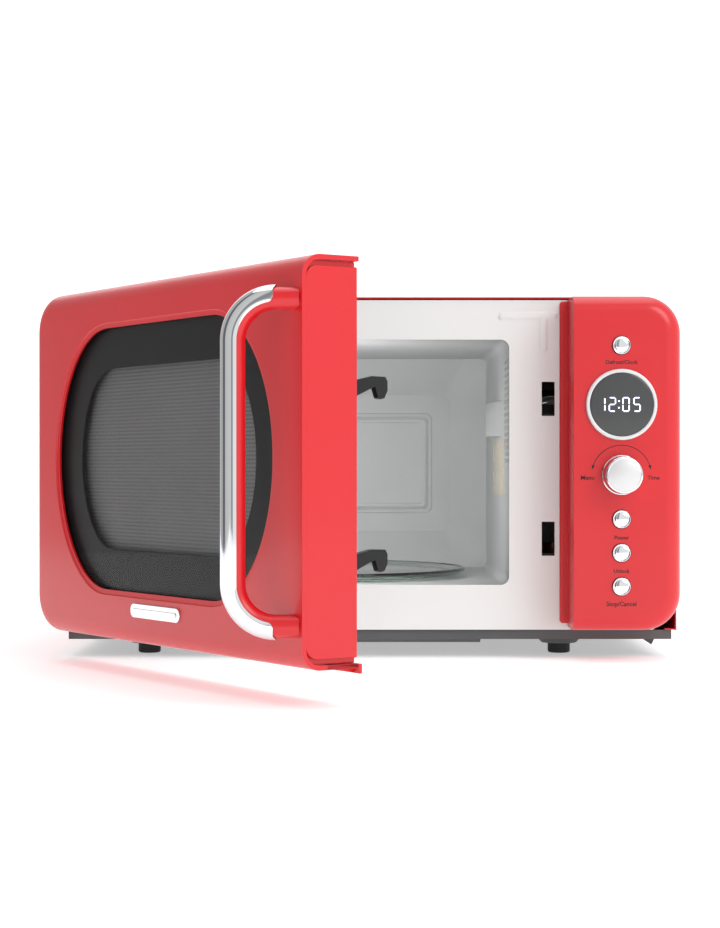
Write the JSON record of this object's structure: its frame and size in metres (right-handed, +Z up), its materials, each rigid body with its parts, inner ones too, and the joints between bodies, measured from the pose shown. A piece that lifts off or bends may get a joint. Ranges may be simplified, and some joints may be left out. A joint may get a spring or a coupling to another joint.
{
  "type": "microwave oven",
  "caption": "Countertop microwave oven with a side-hung glazed door, bar handle, glass turntable and a control panel with a round display, knob and buttons.",
  "frame": {"origin": "middle of the object's outline on the worktop plane, with the door standing open as stored", "axes": "+Z up, the front faces -Y, +X to the right as seen from the front"},
  "size_m": [0.454, 0.6398, 0.259],
  "materials": {
    "red_enamel": "glossy red stoved enamel on sheet steel",
    "red_abs": "glossy moulded red plastic",
    "white_enamel": "semi-gloss white enamel",
    "grey_enamel": "satin light grey cavity enamel",
    "dark_steel": "satin dark grey coated sheet steel",
    "zinc_steel": "bright zinc-plated steel",
    "core_steel": "varnished steel laminations",
    "copper_wire": "enamelled copper winding",
    "aluminium": "bare drawn aluminium",
    "chrome": "mirror chrome plating",
    "black_rubber": "matte black rubber",
    "black_plastic": "moulded black plastic",
    "white_plastic": "moulded white plastic",
    "circuit_board": "green solder-resist laminate",
    "mica": "pressed mica sheet",
    "tray_glass": "clear green-tinted pressed glass",
    "door_glass": "dark-tinted toughened glass",
    "clear_sheet": "thin clear plastic sheet",
    "lamp_glass": "clear lamp glass",
    "screen_steel": "black-coated perforated steel"
  },
  "bodies": {
    "cabinet": {"outer_cabinet": "red_enamel", "rear_panel": "dark_steel", "base_plate": "dark_steel", "front_plate": "white_enamel", "cavity_liner": "grey_enamel", "waveguide_cover": "mica", "waveguide": "zinc_steel", "magnetron": "aluminium", "air_duct": "white_plastic", "transformer_core": "core_steel", "transformer_windings": "copper_wire", "capacitor": "aluminium", "capacitor_clamp": "zinc_steel", "hv_diode": "black_plastic", "fan_motor": "core_steel", "fan_shroud": "black_plastic", "latch_board": "white_plastic", "interlock_switches": "black_plastic", "filter_board": "circuit_board", "cavity_lamp": "lamp_glass", "lamp_holder": "white_plastic", "thermal_cutouts": "mica", "cord_gland": "black_plastic", "feet": "black_rubber", "cabinet_screws": "zinc_steel", "upper_hinge": "zinc_steel", "lower_hinge": "zinc_steel", "turntable_motor": "zinc_steel", "control_panel": "red_abs", "display_bezel": "chrome", "display_lens": "door_glass", "display_module": "black_plastic", "control_board": "circuit_board", "encoder_body": "zinc_steel"},
    "door": {"door_shell": "red_abs", "door_end_cap": "red_abs", "door_glass": "door_glass", "glass_frame": "black_plastic", "door_pan": "white_enamel", "mesh_screen": "screen_steel", "choke_cover": "black_plastic", "inner_window": "clear_sheet", "door_handle": "red_abs", "handle_trim": "chrome", "door_badge": "chrome", "latch_spring": "zinc_steel"},
    "door_latch": {"latch_hooks": "black_plastic"},
    "fan": {"fan_blade": "white_plastic"},
    "turntable_drive": {"turntable_coupler": "white_plastic"},
    "tray": {"glass_tray": "tray_glass"},
    "roller_ring": {"roller_ring": "white_plastic"},
    "wheel_1": {"roller_wheel_1": "white_plastic"},
    "wheel_2": {"roller_wheel_2": "white_plastic"},
    "wheel_3": {"roller_wheel_3": "white_plastic"},
    "clock_button": {"clock_button": "chrome"},
    "power_button": {"power_button": "chrome"},
    "unlock_button": {"unlock_button": "chrome"},
    "stop_button": {"stop_button": "chrome"},
    "knob_plunger": {"encoder_plunger": "white_plastic"},
    "menu_knob": {"menu_knob": "chrome"}
  },
  "joints": [
    {"name": "door_hinge", "type": "hinge", "parent": "cabinet", "child": "door", "pos_m": [-0.20202, -0.0129, 0.14], "axis": [0, 0, -1], "range_deg": [-56.5, 33.5]},
    {"name": "latch_lift", "type": "slide", "parent": "door", "child": "door_latch", "axis": [0, 0, 1], "range_m": [0, 0.005], "stiffness_N_per_m": 600, "springref_m": -0.005, "deforming": ["latch_spring"]},
    {"name": "fan_spin", "type": "hinge", "parent": "cabinet", "child": "fan", "pos_m": [0.16878, 0.2999, 0.15], "axis": [0, 1, 0], "continuous": true},
    {"name": "turntable_spin", "type": "hinge", "parent": "cabinet", "child": "turntable_drive", "pos_m": [-0.04302, 0.1474, 0.045], "axis": [0, 0, 1], "continuous": true},
    {"name": "tray_lift", "type": "slide", "parent": "turntable_drive", "child": "tray", "axis": [0, 0, 1], "range_m": [0, 0.03]},
    {"name": "roller_ring_spin", "type": "hinge", "parent": "cabinet", "child": "roller_ring", "pos_m": [-0.04302, 0.1474, 0.0457], "axis": [0, 0, 1], "continuous": true},
    {"name": "wheel_1_spin", "type": "hinge", "parent": "roller_ring", "child": "wheel_1", "pos_m": [0.04498, 0.1474, 0.0457], "axis": [1, 0, 0], "continuous": true},
    {"name": "wheel_2_spin", "type": "hinge", "parent": "roller_ring", "child": "wheel_2", "pos_m": [-0.08702, 0.22361, 0.0457], "axis": [-0.5, 0.866, 0], "continuous": true},
    {"name": "wheel_3_spin", "type": "hinge", "parent": "roller_ring", "child": "wheel_3", "pos_m": [-0.08702, 0.07119, 0.0457], "axis": [-0.5, -0.866, 0], "continuous": true},
    {"name": "clock_press", "type": "slide", "parent": "cabinet", "child": "clock_button", "axis": [0, 1, 0], "range_m": [0, 0.0015], "stiffness_N_per_m": 800, "springref_m": -0.0015},
    {"name": "power_press", "type": "slide", "parent": "cabinet", "child": "power_button", "axis": [0, 1, 0], "range_m": [0, 0.0015], "stiffness_N_per_m": 800, "springref_m": -0.0015},
    {"name": "unlock_press", "type": "slide", "parent": "cabinet", "child": "unlock_button", "axis": [0, 1, 0], "range_m": [0, 0.0015], "stiffness_N_per_m": 800, "springref_m": -0.0015},
    {"name": "stop_press", "type": "slide", "parent": "cabinet", "child": "stop_button", "axis": [0, 1, 0], "range_m": [0, 0.0015], "stiffness_N_per_m": 800, "springref_m": -0.0015},
    {"name": "knob_press", "type": "slide", "parent": "cabinet", "child": "knob_plunger", "axis": [0, 1, 0], "range_m": [0, 0.0012], "stiffness_N_per_m": 2000, "springref_m": -0.001},
    {"name": "knob_turn", "type": "hinge", "parent": "knob_plunger", "child": "menu_knob", "pos_m": [0.18238, -0.0501, 0.1315], "axis": [0, 1, 0], "continuous": true}
  ],
  "couplings": [
    {"joint": "roller_ring_spin", "follows": "turntable_spin", "ratio": 0.5},
    {"joint": "wheel_1_spin", "follows": "turntable_spin", "ratio": -7.3333},
    {"joint": "wheel_2_spin", "follows": "turntable_spin", "ratio": -7.3333},
    {"joint": "wheel_3_spin", "follows": "turntable_spin", "ratio": -7.3333}
  ]
}
